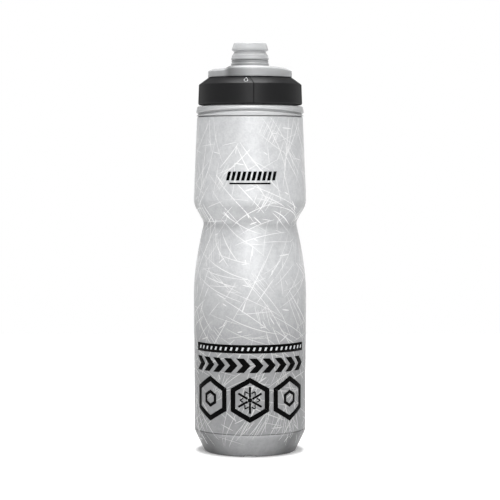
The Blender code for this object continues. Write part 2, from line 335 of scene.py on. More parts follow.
def body_outline(sizes):
    """Outside of the bottle from top to seam: a tapered grip, a rounded shoulder, a cut-in waist and a flare whose
    radius grows with 1 - (1 - share) to the power 1.62."""
    waist_bottom, hip_height = sizes.waist_bottom / MM, sizes.hip_height / MM
    waist_radius, hip_radius = sizes.waist_radius / MM, sizes.hip_radius / MM
    share = np.linspace(0, 1, 16)[1:]
    flare_height = waist_bottom + (hip_height - waist_bottom) * share
    flare_radius = waist_radius + (hip_radius - waist_radius) * (1 - (1 - share) ** 1.62)
    upper = [
        (sizes.top_radius / MM, sizes.shell_top / MM),
        (sizes.shoulder_radius / MM, sizes.shoulder_height / MM, 4.2),
        (waist_radius, sizes.waist_top / MM, 2.6),
        (waist_radius, waist_bottom, 1.2),
    ]
    seam = [(sizes.seam_radius / MM, sizes.seam_height / MM)]
    return rounded(upper + list(zip(flare_radius, flare_height)) + seam)


def body_radius(outline, height):
    """Radius of the outline at a height."""
    return np.interp(height, outline[::-1, 1], outline[::-1, 0])


# ---------------------------------------------------------------- materials


def add(tree, kind, settings=None, links=None, out=0):
    """Adds a shader node and gives one of its outputs; settings are its properties or input values, links are
    outputs that feed its inputs."""
    node = tree.nodes.new("ShaderNode" + kind)
    for name, value in (settings or {}).items():
        if isinstance(name, str) and name in node.bl_rna.properties:
            setattr(node, name, value)
        else:
            node.inputs[name].default_value = value
    for name, source in (links or {}).items():
        tree.links.new(source, node.inputs[name])
    return node.outputs[out]


def dimmed(base, share):
    """A colour with this share of its brightness."""
    return tuple(share * part for part in base)


def new_look(name, base, settings):
    """A material whose Principled shader has this base colour and these socket values."""
    made = bpy.data.materials.new(name)
    made.use_nodes = True
    shader = made.node_tree.nodes["Principled BSDF"]
    shader.inputs["Base Color"].default_value = (*base, 1)
    for socket, value in settings.items():
        shader.inputs[socket].default_value = value
    return made, made.node_tree, shader


def noise(tree, millimetre, detail=3.0, stretch=(1, 1, 1)):
    """Noise on object coordinates whose grains are about this many millimetres across."""
    place = add(tree, "TexCoord", out="Object")
    turned = add(tree, "Mapping", {"Scale": stretch}, {"Vector": place})
    settings = {"Scale": 1 / (millimetre * MM), "Detail": detail, "Roughness": 0.55}
    return add(tree, "TexNoise", settings, {"Vector": turned})


def mix_colours(tree, factor, one, other, low=0.35, high=0.65):
    """Colour that goes from one to the other as the factor goes from low to high."""
    ramp = add(tree, "MapRange", {"From Min": low, "From Max": high}, {"Value": factor})
    settings = {"data_type": "RGBA", 6: (*one, 1), 7: (*other, 1)}
    return add(tree, "Mix", settings, {0: ramp}, 2)


def relief(tree, shader, layers):
    """Bump from (height, depth in millimetres) layers, one on top of the other."""
    normal = None
    for height, depth in layers:
        links = {"Height": height}
        if normal:
            links["Normal"] = normal
        normal = add(tree, "Bump", {"Strength": 1.0, "Distance": depth * MM}, links)
    tree.links.new(normal, shader.inputs["Normal"])


def vary_roughness(tree, shader, factor, low, high):
    """Roughness that goes from low to high with the factor."""
    ramp = add(tree, "MapRange", {"To Min": low, "To Max": high}, {"Value": factor})
    tree.links.new(ramp, shader.inputs["Roughness"])


def position(tree, axis):
    """Object coordinate along one axis, in metres."""
    return add(tree, "SeparateXYZ", links={"Vector": add(tree, "TexCoord", out="Object")}, out=axis)


def height_shade(tree, ramps):
    """Sum of ramps over the height, each from 0 at its first height in mm to its depth at its second."""
    height = position(tree, "Z")
    total = None
    for start, end, depth in ramps:
        ramp = {"From Min": start * MM, "From Max": end * MM, "To Max": depth}
        part = add(tree, "MapRange", ramp, {"Value": height})
        total = add(tree, "Math", {"operation": "ADD"}, {0: part, 1: total}) if total else part
    return total


def darken(tree, shader, tint, shade):
    """Base colour that goes from the tint to black by the shade."""
    settings = {"data_type": "RGBA", 7: (0, 0, 0, 1)}
    toned = add(tree, "Mix", settings, {0: shade, 6: tint}, 2)
    tree.links.new(toned, shader.inputs["Base Color"])


def pearl_shell_look(colours, painted_foot_brightness, rim_shade_start, rim_shade_end, rim_shade_depth):
    """Blow-moulded LDPE with pearl pigment: a soft satin skin over a silvery, slightly clouded sheet. Painted shade
    darkens it toward the base, in a band at the waist, and where the wall turns away."""
    settings = {"IOR": 1.51, "Metallic": 0.22, "Coat Weight": 0.08, "Coat Roughness": 0.4}
    settings |= {"Subsurface Weight": 0.12, "Subsurface Scale": 1.5 * MM, "Subsurface Radius": (1, 1, 1)}
    settings |= {"Sheen Weight": 0.12, "Sheen Roughness": 0.3}
    made, tree, shader = new_look("pearl_ldpe_blow_moulded", colours.pearl, settings)
    cloud = noise(tree, 4.0, 4.0)
    crinkle = noise(tree, 1.1, 3.0)
    blotch = add(tree, "Math", {"operation": "ADD"}, {0: cloud, 1: crinkle})
    tint = mix_colours(tree, blotch, colours.pearl_shade, colours.pearl, 0.75, 1.2)
    # Painted shade: darker from 122 mm down to 60 mm, and in a band between 150 and 160 mm under the shoulder.
    shade = height_shade(tree, [(122, 60, 1 - painted_foot_brightness), (145, 150, 0.3), (160, 165, -0.3)])
    away = {"From Min": rim_shade_start, "From Max": rim_shade_end, "To Max": rim_shade_depth}
    # Painted shade at the outline: the colour darkens as the wall turns away from the eye.
    facing = add(tree, "LayerWeight", out="Facing")
    edge = add(tree, "MapRange", away, {"Value": facing})
    darken(tree, shader, tint, add(tree, "Math", {"operation": "ADD"}, {0: shade, 1: edge}))
    vary_roughness(tree, shader, crinkle, 0.42, 0.54)
    relief(tree, shader, [(noise(tree, 6.0, 2.0), 0.12), (crinkle, 0.04), (noise(tree, 0.3, 2.0), 0.004)])
    return made


def fibre_ink_look(colours):
    """White pad-printed ink: thin, matt and a little uneven where the film ran dry."""
    made, tree, shader = new_look("white_pad_print", colours.fibre, {"IOR": 1.5, "Roughness": 0.55})
    dry = noise(tree, 0.5, 2.0)
    tint = mix_colours(tree, dry, dimmed(colours.fibre, 0.88), colours.fibre)
    # Painted shade: the fibres darken toward the base, as the shell does.
    darken(tree, shader, tint, height_shade(tree, [(122, 60, 0.36)]))
    relief(tree, shader, [(dry, 0.01)])
    return made


def screen_ink_look(colours):
    """Black screen-printed ink: opaque, satin, with the faint tooth of the mesh it was pushed through."""
    made, tree, shader = new_look("black_screen_print", colours.ink, {"IOR": 1.5, "Specular IOR Level": 0.03})
    tooth = noise(tree, 0.25, 1.0)
    vary_roughness(tree, shader, tooth, 0.5, 0.64)
    relief(tree, shader, [(tooth, 0.006), (noise(tree, 5.0, 2.0), 0.03)])
    return made


def pale_ink_look(name, base):
    """Light grey printed ink for small marks: matt and flat."""
    made, tree, shader = new_look(name, base, {"IOR": 1.5, "Roughness": 0.6})
    relief(tree, shader, [(noise(tree, 0.25, 1.0), 0.006)])
    return made


def natural_plastic_look(colours):
    """Unpigmented LDPE: milky and waxy, so light spreads inside it, with painted shade that greys it where the wall
    turns away.
    """
    settings = {"IOR": 1.51, "Transmission Weight": 0.06, "Subsurface Weight": 0.3}
    settings |= {"Subsurface Scale": 1.2 * MM, "Subsurface Radius": (1, 1, 1)}
    made, tree, shader = new_look("natural_ldpe_moulded", colours.natural, settings)
    # Painted shade at the outline: the colour greys to half as the wall turns away from the eye.
    facing = add(tree, "LayerWeight", out="Facing")
    tint = mix_colours(tree, facing, colours.natural, dimmed(colours.natural, 0.5), 0.1, 0.75)
    tree.links.new(tint, shader.inputs["Base Color"])
    wax = noise(tree, 0.8, 3.0)
    vary_roughness(tree, shader, wax, 0.26, 0.4)
    relief(tree, shader, [(noise(tree, 7.0, 2.0, (1, 1, 0.4)), 0.08), (wax, 0.008)])
    return made


def cap_look(colours):
    """Injection-moulded black polypropylene with a fine spark-eroded texture: soft, slightly grey
    highlights that fade where the wall turns away."""
    made, tree, shader = new_look("black_pp_spark_eroded", colours.cap, {"IOR": 1.49, "Specular IOR Level": 0.16})
    gloss = {"From Min": 0.25, "From Max": 0.8, "To Min": 0.2, "To Max": 0.01}
    facing = add(tree, "LayerWeight", out="Facing")
    sheen = add(tree, "MapRange", gloss, {"Value": facing})
    # An export drops this link and keeps the level that is set above.
    tree.links.new(sheen, shader.inputs["Specular IOR Level"])
    grain = noise(tree, 0.35, 2.0)
    vary_roughness(tree, shader, grain, 0.36, 0.48)
    relief(tree, shader, [(grain, 0.012), (noise(tree, 9.0, 1.0), 0.05)])
    return made


def dial_look(colours):
    """Smoke-tinted translucent polypropylene: glossy and cloudy inside, with painted shade at the left root of the
    ridge.
    """
    settings = {"IOR": 1.49, "Transmission Weight": 0.15, "Subsurface Weight": 0.45}
    settings |= {"Subsurface Scale": 2.0 * MM, "Subsurface Radius": (1, 1, 1)}
    made, tree, shader = new_look("smoke_pp_moulded", colours.dial, settings)
    # The painted shade lies where these three ramps overlap: onto the ridge, short of its crest, and in front of the
    # barrel.
    painted_root_shade = None
    for axis, start, end, kind in (("X", -17.5, -13, "SMOOTHSTEP"), ("X", 2, -13, "LINEAR"), ("Y", -4, -10, "LINEAR")):
        ramp = {"From Min": start * MM, "From Max": end * MM, "interpolation_type": kind}
        part = add(tree, "MapRange", ramp, {"Value": position(tree, axis)})
        product = {"operation": "MULTIPLY"}
        painted_root_shade = add(tree, "Math", product, {0: painted_root_shade, 1: part}) if painted_root_shade else part
    tint = mix_colours(tree, painted_root_shade, colours.dial, dimmed(colours.dial, 0.45), 0.0, 1.0)
    tree.links.new(tint, shader.inputs["Base Color"])
    flow = noise(tree, 14.0, 2.0, (1, 1, 2.5))
    vary_roughness(tree, shader, flow, 0.36, 0.46)
    relief(tree, shader, [(flow, 0.12), (noise(tree, 0.6, 1.0), 0.0015)])
    return made


def skin_look(name, base, settings, grain, detail, rough, depth):
    """A moulded skin whose grains, this many millimetres across and deep, also make its gloss uneven."""
    made, tree, shader = new_look(name, base, settings)
    skin = noise(tree, grain, detail)
    vary_roughness(tree, shader, skin, *rough)
    relief(tree, shader, [(skin, depth)])
    return made


def silicone_look(colours):
    """Moulded clear silicone rubber: soft sheen, milky depth and a dusty, slightly grippy skin."""
    settings = {"IOR": 1.41, "Transmission Weight": 0.2, "Subsurface Weight": 0.5}
    settings |= {"Subsurface Scale": 3.0 * MM, "Subsurface Radius": (1, 1, 1)}
    return skin_look("clear_silicone_moulded", colours.silicone, settings, 0.5, 3.0, (0.28, 0.42), 0.01)


def insulation_look(colours):
    """Needled insulation sheet with a silvered face: dull metal gleam broken by fine wrinkles."""
    made, tree, shader = new_look("silvered_insulation_felt", colours.foil, {"Metallic": 0.45, "Roughness": 0.55})
    wrinkle = noise(tree, 2.2, 4.0, (1, 1, 0.6))
    # Painted shade in the wrinkles: the colour darkens where their relief is low.
    tint = mix_colours(tree, wrinkle, dimmed(colours.foil, 0.75), colours.foil)
    tree.links.new(tint, shader.inputs["Base Color"])
    relief(tree, shader, [(wrinkle, 0.3), (noise(tree, 0.4, 2.0), 0.05)])
    return made


def rubber_look(name, base):
    """Moulded seal rubber: matt with a fine bloom."""
    return skin_look(name, base, {"IOR": 1.45}, 0.3, 2.0, (0.5, 0.68), 0.008)


def floor_look(colours):
    """Pale seamless paper: matt with a barely seen fibre. It glows more with the distance in metres, so that it
    meets the white surroundings without an edge."""
    settings = {"Roughness": 0.9, "Specular IOR Level": 0.1, "Emission Color": (1, 1, 1, 1)}
    made, tree, shader = new_look("seamless_paper", colours.floor, settings)
    place = add(tree, "TexCoord", out="Object")
    away = add(tree, "VectorMath", {"operation": "LENGTH"}, {0: place}, "Value")
    fade = {"From Min": 0.03, "From Max": 0.4, "To Min": 0.14, "To Max": 0.3}
    glow = add(tree, "MapRange", fade, {"Value": away})
    tree.links.new(glow, shader.inputs["Emission Strength"])
    relief(tree, shader, [(noise(tree, 1.5, 3.0), 0.02)])
    return made


# ---------------------------------------------------------------- prints and fibres


def on_body(outline, arc, height, lift):
    """Points that stand off the bottle by lift, at an arc length from the front and a height."""
    return round_axis(body_radius(outline, height) + lift, arc / ARC_RADIUS, height)


def print_quads(name, outline, quads, look, lift, painted_root_shade=0.07, columns=13, rows=4):
    """Thin ink from corners (n, 4, 2) in arc length and height: each cell is blended between its four corners and
    bent onto the bottle, then given the ink's thickness. Cells shrink by 0.3% so that neighbours stay separate."""
    quads = np.array(quads, float)
    quads += 0.003 * (quads.mean(axis=1, keepdims=True) - quads)
    across = np.linspace(0, 1, columns)[None, None, :, None]
    down = np.linspace(0, 1, rows)[None, :, None, None]
    corner = quads[:, None, None]
    upper = corner[..., 0, :] * (1 - across) + corner[..., 1, :] * across
    lower = corner[..., 3, :] * (1 - across) + corner[..., 2, :] * across
    flat = upper * (1 - down) + lower * down
    points = on_body(outline, flat[..., 0], flat[..., 1], lift)
    size = rows * columns
    faces = [grid_faces(rows, columns, close_columns=False, start=size * number) for number in range(len(quads))]
    made = piece(name, points, np.vstack(faces), look, "bottle", slot="pearl_shell")
    thicken(made, "ink_film", painted_root_shade, 1)


def box_quad(left, right, low, high, slant=0.0):
    """Corners of an upright block, from top left clockwise, leaning to the right by slant at its top."""
    return [(left + slant, high), (right + slant, high), (right, low), (left, low)]


def hexagon(centre, outer):
    """Corners of a pointed-top hexagon, the first one again at the end."""
    angles = math.pi / 2 - np.arange(7) * TURN / 6
    return np.stack([centre[0] + outer * np.cos(angles), centre[1] + outer * np.sin(angles)], axis=-1)


def hexagon_ring(centre, outer, inner):
    """Six mitred blocks between two hexagons."""
    far, near = hexagon(centre, outer), hexagon(centre, inner)
    return [(far[side], far[side + 1], near[side + 1], near[side]) for side in range(6)]


def snow_crystal(centre, reach, width):
    """Six arms round a hexagon, each with a pair of side branches that start beside the arm."""
    quads = []
    for side in range(6):
        angle = TURN * side / 6 + math.pi / 2
        along = np.array([math.cos(angle), math.sin(angle)])
        across = np.array([-along[1], along[0]])
        half = across * width / 2
        near, far = np.array(centre) + along * width, np.array(centre) + along * reach
        quads.append((near + half * 0.8, far + half * 0.8, far - half * 0.8, near - half * 0.8))
        for hand in (-1, 1):
            lean = along * math.cos(hand * math.pi / 3) + across * math.sin(hand * math.pi / 3)
            beside = np.array([-lean[1], lean[0]]) * width * 0.22
            start = np.array(centre) + along * reach * 0.5 + across * hand * width * 0.56
            end = start + lean * reach * 0.3
            quads.append((start + beside, end + beside, end - beside, start - beside))
    middle = hexagon(centre, width * 0.95)
    return quads + [middle[:4], middle[3:]]


def chevron(left, low, high, width, point):
    """Two blocks that form a chevron pointing right."""
    middle = (low + high) / 2
    tip = left + point
    upper = [(left, high), (left + width, high), (tip + width, middle), (tip, middle)]
    lower = [(tip, middle), (tip + width, middle), (left + width, low), (left, low)]
    return [upper, lower]


def stroke_set(settings, low, high):
    """Start (arc, height), heading, length, bend, width and strength of every printed fibre.

    The fibres are laid cell by cell over the whole way round, so that they cover the shell evenly. Fans leave a short
    line and spread, some of their fibres fork at the end, bundles lie side by side, dashes and hairs are loose."""
    draw = np.random.default_rng(settings.seed)
    uniform = draw.uniform
    around = TURN * ARC_RADIUS
    fibres = []

    def lay(arc, height, heading, long, bend, width):
        fibres.append(np.stack(np.broadcast_arrays(arc, height, heading, long, bend, width), axis=-1).reshape(-1, 6))

    def places(number):
        """One random place in each of about this many equal cells."""
        rows = max(1, round(math.sqrt(number * (high - low) / around)))
        columns = max(1, math.ceil(number / rows))
        row, column = np.divmod(np.arange(number), columns)
        arc = (column + uniform(0, 1, number)) * around / columns
        return arc, low + (row + uniform(0, 1, number)) * (high - low) / rows

    for arc, height in zip(*places(settings.fans)):
        number = draw.integers(2, 4)
        step = np.arange(number) - (number - 1) / 2
        steep = draw.choice([-1, 1]) * draw.choice([uniform(0.15, 0.6), uniform(0.75, 1.4)], p=[0.3, 0.7])
        heading = steep + step * uniform(0.02, 0.22) + uniform(-0.03, 0.03, number)
        apart = step * uniform(3.0, 9.0)
        long = uniform(18, 44, number)
        bend = draw.choice([-1, 1]) * uniform(0.001, 0.013) + uniform(-0.002, 0.002, number)
        width = uniform(0.3, 0.66, number)
        start_arc = arc - apart * math.sin(steep) - long / 2 * np.cos(heading)
        start_height = height + apart * math.cos(steep) - long / 2 * np.sin(heading)
        lay(start_arc, start_height, heading, long, bend, width)
        forked = uniform(0, 1, number) < 0.25
        fork = heading[forked] + math.pi + draw.choice([-0.5, 0.5], forked.sum())
        end_arc, end_height = start_arc + long * np.cos(heading), start_height + long * np.sin(heading)
        lay(end_arc[forked], end_height[forked], fork, uniform(4, 10, forked.sum()), 0, width[forked] * 0.9)
    for arc, height in zip(*places(settings.bundles)):
        number = draw.integers(5, 11)
        heading = draw.choice([-1, 1]) * uniform(0.8, 1.4)
        apart = uniform(1.2, 2.2) * np.arange(number)
        starts = height - apart * math.cos(heading) + uniform(-3, 3, number)
        headings = heading + uniform(-0.07, 0.07, number)
        longs, widths = uniform(7, 20, number), uniform(0.2, 0.36, number)
        lay(arc + apart * math.sin(heading), starts, headings, longs, uniform(-0.01, 0.01), widths)
    loose, fine = settings.dashes, settings.hairs
    arc, height = places(loose)
    lay(arc, height, uniform(-1.5, 1.5, loose), uniform(3, 9, loose), 0, uniform(0.45, 0.85, loose))
    arc, height = places(fine)
    bends, widths = uniform(-0.015, 0.015, fine), uniform(0.22, 0.36, fine)
    lay(arc, height, uniform(-1.5, 1.5, fine), uniform(8, 26, fine), bends, widths)
    return np.vstack(fibres)


def fibre_points(outline, fibres, low, high):
    """Fibres as slim lens-shaped tubes: the middle line turns evenly from its first heading, the width swells from a
    point and back, and the four edges of the section lie left, above, right and under the surface. A fibre that
    would pass the low or high edge is moved back inside it."""
    arc, height, heading, long, bend, width = (fibres[:, column, None] for column in range(6))
    share = np.linspace(0, 1, FIBRE_RINGS)[None, :]
    turn = heading + bend * long * (share - 0.5)
    step = long / (FIBRE_RINGS - 1)
    walk_arc = arc + np.cumsum(np.cos(turn) * step, axis=1)
    walk_height = height + np.cumsum(np.sin(turn) * step, axis=1)
    above = np.maximum(walk_height.max(axis=1, keepdims=True) - high, 0)
    below = np.maximum(low - walk_height.min(axis=1, keepdims=True), 0)
    walk_height = walk_height - above + below
    half = width / 2 * (0.12 + 0.88 * np.sin(math.pi * np.clip(share, 0.01, 0.99)) ** 0.45)
    side = np.array([-1.0, 0.0, 1.0, 0.0])
    lift = np.array([0.02, 0.06, 0.02, -0.08])  # of those four edges above the shell, in millimetres
    sheet_arc = walk_arc[..., None] - np.sin(turn)[..., None] * half[..., None] * side
    sheet_height = walk_height[..., None] + np.cos(turn)[..., None] * half[..., None] * side
    return on_body(outline, sheet_arc, sheet_height, lift)


def tube_faces(number, rings):
    """Faces of many closed tubes of four sides, each with its two end caps."""
    last = (rings - 1) * 4 + np.arange(4)
    one = np.vstack([grid_faces(rings, 4), np.arange(4), last[::-1]])
    return (one[None] + np.arange(number)[:, None, None] * rings * 4).reshape(-1, 4)


# ---------------------------------------------------------------- operators


class BOTTLE_OT_outer_shell(bpy.types.Operator):
    """Soft outer wall with its lip, inside and outside"""

    bl_idname = "bottle.outer_shell"
    bl_label = "Outer shell"

    def execute(self, context):
        sizes = context.scene.bottle_sizes
        outside = body_outline(sizes)
        top = sizes.shell_top / MM
        lip_bore = sizes.top_radius / MM - BOTTLE_INSET + GAP * 2
        below_lip = outside[outside[:, 1] < top - SHELL_WALL]
        inside = below_lip[::-1] - (SHELL_WALL, 0)
        lip = [(lip_bore, top - SHELL_WALL), (lip_bore, top), (outside[0, 0] - 0.4, top)]
        edge = [(outside[0, 0], top - 0.4)]
        start = outside[outside[:, 1] < top - 0.4]
        loop = np.vstack([edge, start, inside, lip])
        colours = context.scene.bottle_colours
        look = pearl_shell_look(colours, colours.painted_foot_brightness, rim_shade_start=0.3, rim_shade_end=0.9, rim_shade_depth=0.22)
        outline = resampled(loop, 2.0, ring=True)
        lathe("shell_surface", outline, look, "bottle", ring=True, node="outer_shell", slot="pearl_shell")
        return {"FINISHED"}


class BOTTLE_OT_fibres(bpy.types.Operator):
    """White fibres printed all over the shell"""

    bl_idname = "bottle.fibres"
    bl_label = "Printed fibres"

    def execute(self, context):
        sizes = context.scene.bottle_sizes
        outline = np.vstack([body_outline(sizes), BASE_CORNERS, [(32.5, 5.8)]])
        low, high = 6.5, sizes.shell_top / MM - 0.8
        points = fibre_points(outline, stroke_set(context.scene.bottle_fibres, low, high), low, high)
        look = fibre_ink_look(context.scene.bottle_colours)
        faces = tube_faces(len(points), FIBRE_RINGS)
        piece("fibre_print", points, faces, look, "bottle", slot="pearl_shell", crease=60)
        return {"FINISHED"}


class BOTTLE_OT_prints(bpy.types.Operator):
    """Black graphic prints: slanted bars with a rule, a band with pale marks, chevrons and ice crystals"""

    bl_idname = "bottle.prints"
    bl_label = "Graphic prints"

    def execute(self, context):
        colours = context.scene.bottle_colours
        outline = body_outline(context.scene.bottle_sizes)
        ink = screen_ink_look(colours)
        bars = [box_quad(left, left + 2.1, 176.9, 182.6, 1.4) for left in np.arange(-15.8, 14.5, 3.35)]
        rule = box_quad(-13.4, 13.4, 174.5, 175.5)
        print_quads("upper_bars", outline, [*bars, rule], ink, INK_LIFT, columns=17)
        print_quads("black_band", outline, [box_quad(-42.5, 42.5, 67.2, 72.6)], ink, INK_LIFT, columns=97)
        pale = pale_ink_look("pale_screen_print", colours.pale_ink)
        marks = [box_quad(left, left + 1.3, 68.9, 71.0, 0.7) for left in np.arange(-39, 39, 3.7)]
        print_quads("band_marks", outline, marks, pale, INK_LIFT + 0.08, painted_root_shade=0.03, columns=4)
        row = [block for left in np.arange(-42.0, 36.0, 8.3) for block in chevron(left, 54.8, 64.0, 4.9, 4.2)]
        print_quads("chevron_row", outline, row, ink, INK_LIFT)
        middle, *sides = [(side * CRYSTAL_APART, CRYSTAL_HEIGHT) for side in (0, -1, 1)]
        crystals = [block for centre in (sides[0], middle, sides[1]) for block in hexagon_ring(centre, 14.5, 10.9)]
        crystals += snow_crystal(middle, 8.6, 1.7)
        crystals += [block for centre in sides for block in hexagon_ring(centre, 5.6, 3.4)]
        print_quads("crystal_row", outline, crystals, ink, INK_LIFT)
        return {"FINISHED"}


class BOTTLE_OT_base_cup(bpy.types.Operator):
    """Foot of the double wall, with its notched foot ring and grooved underside"""

    bl_idname = "bottle.base_cup"
    bl_label = "Base cup"

    def execute(self, context):
        sizes = context.scene.bottle_sizes
        rim = sizes.seam_height / MM - GAP
        radius = sizes.seam_radius / MM
        ribs = [
            (edge - step, height, 0.2)
            for edge in (17.0, 9.0)
            for step, height in ((0, 3.0), (0.2, 2.5), (1.4, 2.5), (1.6, 3.0))
        ]
        corners = [
            # Floor, and the spigot that the shell slips over
            (0, 4.4), (29.3, 4.4, 1.5), (radius - 2.4, 13.0, 2.0), (radius - 2.4, 18.0, 0.3),
            (radius - 1.5, 18.0, 0.3), (radius - 1.5, rim, 0.2), (radius, rim, 0.35),
            # Outside and foot ring
            (*BASE_CORNERS[0], 1.0), (*BASE_CORNERS[1], 1.6), (30.6, 2.0, 1.0), (29.6, 0, 0.9), (25.6, 0, 0.8),
            (24.6, 3.0, 0.8),
            # Underside
            *ribs, (2.2, 3.2, 0.3), (1.6, 2.6, 0.3), (0, 2.5),
        ]

        def notch(radius, angle, height):
            """Lifts the foot ring to a shallow gap 6.5 mm wide at the front and the back."""
            across = np.abs(radius * np.sin(angle))
            depth = 1.2 * ease((3.7 - across) / 0.9) * (height < 1.2) * (radius > 20)
            return radius + 0 * angle, angle, np.maximum(height, depth)

        colours = context.scene.bottle_colours
        # Painted shade of the base cup: less darkening toward the foot than on the shell, and more where it turns away.
        cup_painted_brightness = colours.painted_foot_brightness + 0.15
        look = pearl_shell_look(colours, cup_painted_brightness, rim_shade_start=0.12, rim_shade_end=0.5, rim_shade_depth=0.42)
        outline = resampled(rounded(corners), 1.2)
        lathe("base_surface", outline, look, "bottle", warp=notch, node="base_cup", slot="pearl_base")
        return {"FINISHED"}


class BOTTLE_OT_inner_bottle(bpy.types.Operator):
    """Natural inner bottle with the grooved flange and the threaded neck"""

    bl_idname = "bottle.inner_bottle"
    bl_label = "Inner bottle"

    def execute(self, context):
        sizes = context.scene.bottle_sizes
        outside = body_outline(sizes)
        hung = outside[(outside[:, 1] > 22) & (outside[:, 1] < 213)]
        outer = hung - (BOTTLE_INSET, 0)
        inner = hung[::-1] - (BOTTLE_INSET + 1, 0)
        floor = rounded([(0, 9.6), (28.0, 9.6, 3.0), (31.2, 14.0, 2.0), tuple(inner[0])])[:-1]
        neck = [
            # Bore, rim and outside of the neck
            tuple(inner[-1]), (NECK_BORE, 219.0, 2.0), (NECK_BORE, NECK_TOP, 0.7), (NECK_RADIUS, NECK_TOP, 0.5),
            (NECK_RADIUS, 226.2, 0.3), (30.9, 225.7, 0.3), (31.0, 224.7, 0.3),
            # Flange with its groove and bead
            (34.2, 224.4, 0.6), (35.0, 221.7, 0.5), (34.6, 221.3, 0.3), (33.4, 220.5, 0.4), (34.8, 219.6, 0.5),
            (34.9, 218.9, 0.5), (34.2, 218.1, 0.3), (33.6, 217.9, 0.2), (31.1, 217.9, 0.5), tuple(outer[0]),
        ]
        foot = rounded([tuple(outer[-1]), (31.9, 13.6, 2.0), (28.4, 8.4, 3.0), (0, 8.4)])[1:]
        profile = np.vstack([floor, inner[:-1], rounded(neck), outer[1:], foot])
        outline = resampled(profile, 2.8, 0.5, (226.0, NECK_TOP))

        def shape(radius, angle, height):
            """Raises the thread on the neck and lets the flange's groove and bead run in a slow wave."""
            on_neck = (np.abs(radius - NECK_RADIUS) < 0.05) & (height > 226)
            rise = (NECK_CREST - NECK_RADIUS) * thread_share(angle, height, THREAD_START, 0, NECK_TURNS)
            near_groove = (radius > 33.3) * ease((height - 218.2) / 1.4) * ease((224.2 - height) / 2.6)
            return radius + rise * on_neck, angle, height + 1.1 * np.cos(2 * angle) * near_groove

        look = natural_plastic_look(context.scene.bottle_colours)
        made_of = {"node": "inner_bottle", "slot": "natural_plastic"}
        lathe("inner_bottle_surface", outline, look, "bottle", warp=shape, **made_of)
        return {"FINISHED"}


class BOTTLE_OT_cap_shell(bpy.types.Operator):
    """Black screw collar with its slanted step and inner thread, and the deck with the flow ports"""

    bl_idname = "bottle.cap_shell"
    bl_label = "Cap shell"

    def execute(self, context):
        bottom, top, radius = CAP_LOW[2], LIP_TOP, CAP_HIGH[0]
        corners = [
            # Lip, cone and wall
            (LIP_BORE, top, 0.2), (LIP_RADIUS, top, 0.2), (CHAMFER_RADIUS, CHAMFER_FOOT, 0.5),
            (radius - 0.05, bottom + 0.9, 0.3), (radius - 0.8, bottom, 0.3),
            # Bore, the gasket's seat, the deck's edge and the underside of the lip
            (CAP_BORE, bottom, 0.3), (CAP_BORE, SEAT_HEIGHT, 0.3), (DECK_RADIUS, SEAT_HEIGHT), (DECK_RADIUS, DECK_TOP),
            (27.0, DECK_TOP, 0.15), (27.0, top - LIP_THICKNESS, 0.2), (LIP_BORE, top - LIP_THICKNESS, 0.3),
        ]
        outline = resampled(rounded(corners, ring=True), 1.0, 0.35, (bottom + 1, SEAT_HEIGHT), ring=True)
        near = np.radians([0.12, 0.5, 0.9, 1.3])
        rest = np.linspace(math.radians(2.2), TURN - math.radians(2.2), SIDES)
        angles = np.concatenate([[0], near, rest, TURN - near[::-1]])

        def shape(radius, angle, height):
            """The seam leans from the front at the lip to its place on the wall. Right of it the collar stands proud by
            the step's depth and sinks back over half a turn, and left of it a channel 0.22 mm deep runs along the
            step. Inside, the thread rises from the bore."""
            lean = np.clip((height - CHAMFER_FOOT) / (top - CHAMFER_FOOT), 0, 1)
            seam = SEAM_ANGLE * (1 - lean)
            outer = (radius > LIP_RADIUS + 0.2) & ((radius > 32.9) | (height > CHAMFER_FOOT - 1))
            channel = 0.22 * ease(1 - (TURN - angle) / math.radians(0.9)) * (angle > math.pi)
            proud = (STEP_DEPTH * ease(1 - angle / math.pi) - channel) * outer * ease((radius - LIP_RADIUS) / 1.0)
            in_bore = (np.abs(radius - CAP_BORE) < 0.05) & (height < SEAT_HEIGHT - 0.5)
            turned = angle + seam
            rise = thread_share(turned, height, THREAD_START - PITCH / 2, 0.5, 1.0)
            return radius + proud - (CAP_BORE - CAP_CREST) * rise * in_bore, turned, height

        look = cap_look(context.scene.bottle_colours)
        made_of = {"node": "cap_shell", "slot": "black_cap_plastic"}
        lathe("collar", outline, look, "cap", ring=True, angles=angles, warp=shape, **made_of)
        self.deck(look, made_of)
        return {"FINISHED"}

    def deck(self, look, made_of):
        """Floor of the cap with two kidney ports, and the raised seat of the dial's seal."""
        radii = [0, 2, PORT_INNER, 5.5, 7.2, PORT_OUTER, 11, 13.5, 15, 18, 22, DECK_RADIUS]
        ported_plate("cap_deck", radii, DECK_BOTTOM, DECK_TOP, look, "cap", **made_of)
        seat = [(13.5, 243.0, 0.3), (15.0, 243.0, 0.3), (15.0, DECK_TOP), (13.5, DECK_TOP)]
        lathe("seal_seat", rounded(seat, ring=True), look, "cap", ring=True, **made_of)


